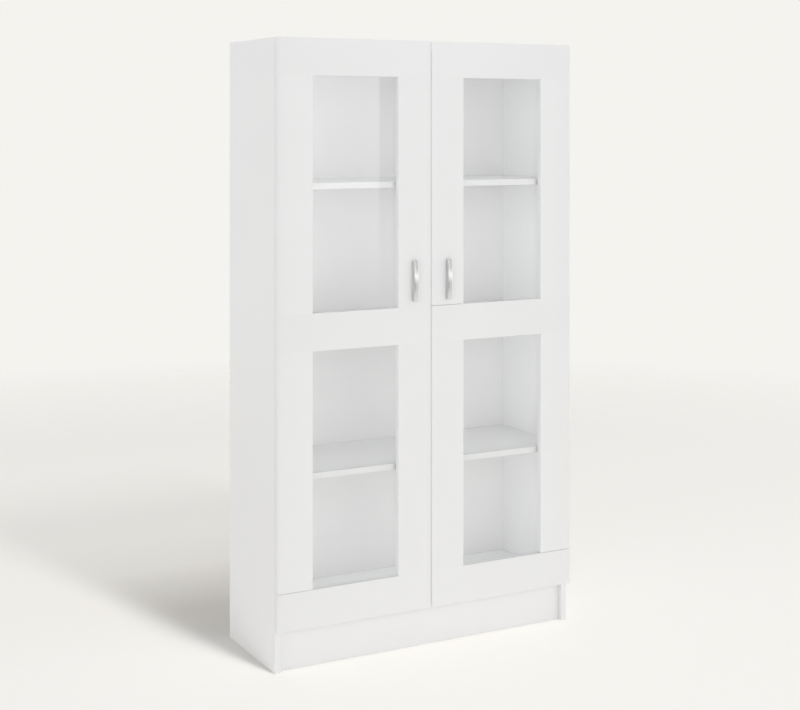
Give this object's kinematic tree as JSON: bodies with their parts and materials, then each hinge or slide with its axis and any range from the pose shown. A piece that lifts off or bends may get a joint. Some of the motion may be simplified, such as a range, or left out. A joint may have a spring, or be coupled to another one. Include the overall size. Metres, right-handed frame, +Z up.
{
  "type": "display cabinet",
  "caption": "Tall white display cabinet with a pair of glazed doors on concealed hinges, fixed and adjustable shelves, a recessed plinth and upright bow handles.",
  "frame": {"origin": "middle of the footprint, on the floor", "axes": "+X to the right seen from the front, -Y the front with the doors, +Y the back that stands against a wall, +Z up"},
  "size_m": [0.825, 0.3212, 1.5],
  "materials": {
    "white_board": "white satin melamine-faced board",
    "back_board": "white lacquered thin fibreboard",
    "clear_glass": "clear polished float glass",
    "bright_chrome": "bright plated",
    "nickelled_steel": "nickel-plated pressed steel"
  },
  "bodies": {
    "cabinet": {"left_side_panel": "white_board", "right_side_panel": "white_board", "top_panel": "white_board", "bottom_panel": "white_board", "plinth_board": "white_board", "lower_shelf": "white_board", "middle_shelf": "white_board", "upper_shelf": "white_board", "back_panel_lower": "back_board", "back_panel_upper": "back_board", "left_lower_hinge_arm": "nickelled_steel", "left_middle_hinge_arm": "nickelled_steel", "left_upper_hinge_arm": "nickelled_steel", "right_lower_hinge_arm": "nickelled_steel", "right_middle_hinge_arm": "nickelled_steel", "right_upper_hinge_arm": "nickelled_steel"},
    "left_outer_links": {"left_lower_hinge_outer_link": "nickelled_steel", "left_middle_hinge_outer_link": "nickelled_steel", "left_upper_hinge_outer_link": "nickelled_steel"},
    "left_inner_links": {"left_lower_hinge_inner_link": "nickelled_steel", "left_middle_hinge_inner_link": "nickelled_steel", "left_upper_hinge_inner_link": "nickelled_steel"},
    "left_door": {"left_door_bottom_rail": "white_board", "left_door_middle_rail": "white_board", "left_door_top_rail": "white_board", "left_door_lower_outer_stile": "white_board", "left_door_lower_inner_stile": "white_board", "left_door_upper_outer_stile": "white_board", "left_door_upper_inner_stile": "white_board", "left_lower_pane": "clear_glass", "left_upper_pane": "clear_glass", "left_handle": "bright_chrome", "left_handle_lower_screw": "nickelled_steel", "left_handle_upper_screw": "nickelled_steel", "left_lower_hinge_cup": "nickelled_steel", "left_middle_hinge_cup": "nickelled_steel", "left_upper_hinge_cup": "nickelled_steel"},
    "right_outer_links": {"right_lower_hinge_outer_link": "nickelled_steel", "right_middle_hinge_outer_link": "nickelled_steel", "right_upper_hinge_outer_link": "nickelled_steel"},
    "right_inner_links": {"right_lower_hinge_inner_link": "nickelled_steel", "right_middle_hinge_inner_link": "nickelled_steel", "right_upper_hinge_inner_link": "nickelled_steel"},
    "right_door": {"right_door_bottom_rail": "white_board", "right_door_middle_rail": "white_board", "right_door_top_rail": "white_board", "right_door_lower_outer_stile": "white_board", "right_door_lower_inner_stile": "white_board", "right_door_upper_outer_stile": "white_board", "right_door_upper_inner_stile": "white_board", "right_lower_pane": "clear_glass", "right_upper_pane": "clear_glass", "right_handle": "bright_chrome", "right_handle_lower_screw": "nickelled_steel", "right_handle_upper_screw": "nickelled_steel", "right_lower_hinge_cup": "nickelled_steel", "right_middle_hinge_cup": "nickelled_steel", "right_upper_hinge_cup": "nickelled_steel"}
  },
  "joints": [
    {"name": "left_door_swing", "type": "hinge", "parent": "left_outer_links", "child": "left_door", "pos_m": [-0.4007, -0.13395, 0], "axis": [0, 0, -1], "range_deg": [0, 138]},
    {"name": "left_outer_link_swing", "type": "hinge", "parent": "cabinet", "child": "left_outer_links", "pos_m": [-0.3847, -0.12745, 0], "axis": [0, 0, -1], "range_deg": [-47, 0]},
    {"name": "left_inner_link_swing", "type": "hinge", "parent": "cabinet", "child": "left_inner_links", "pos_m": [-0.3779, -0.13405, 0], "axis": [0, 0, -1], "range_deg": [-46.7, 0]},
    {"name": "right_door_swing", "type": "hinge", "parent": "right_outer_links", "child": "right_door", "pos_m": [0.4007, -0.13395, 0], "axis": [0, 0, 1], "range_deg": [0, 138]},
    {"name": "right_outer_link_swing", "type": "hinge", "parent": "cabinet", "child": "right_outer_links", "pos_m": [0.3847, -0.12745, 0], "axis": [0, 0, 1], "range_deg": [-47, 0]},
    {"name": "right_inner_link_swing", "type": "hinge", "parent": "cabinet", "child": "right_inner_links", "pos_m": [0.3779, -0.13405, 0], "axis": [0, 0, 1], "range_deg": [-46.7, 0]}
  ],
  "couplings": [
    {"joint": "left_outer_link_swing", "follows": "left_door_swing", "ratio": -0.33333},
    {"joint": "left_inner_link_swing", "follows": "left_door_swing", "ratio": -0.33067},
    {"joint": "right_outer_link_swing", "follows": "right_door_swing", "ratio": -0.33333},
    {"joint": "right_inner_link_swing", "follows": "right_door_swing", "ratio": -0.33067}
  ]
}
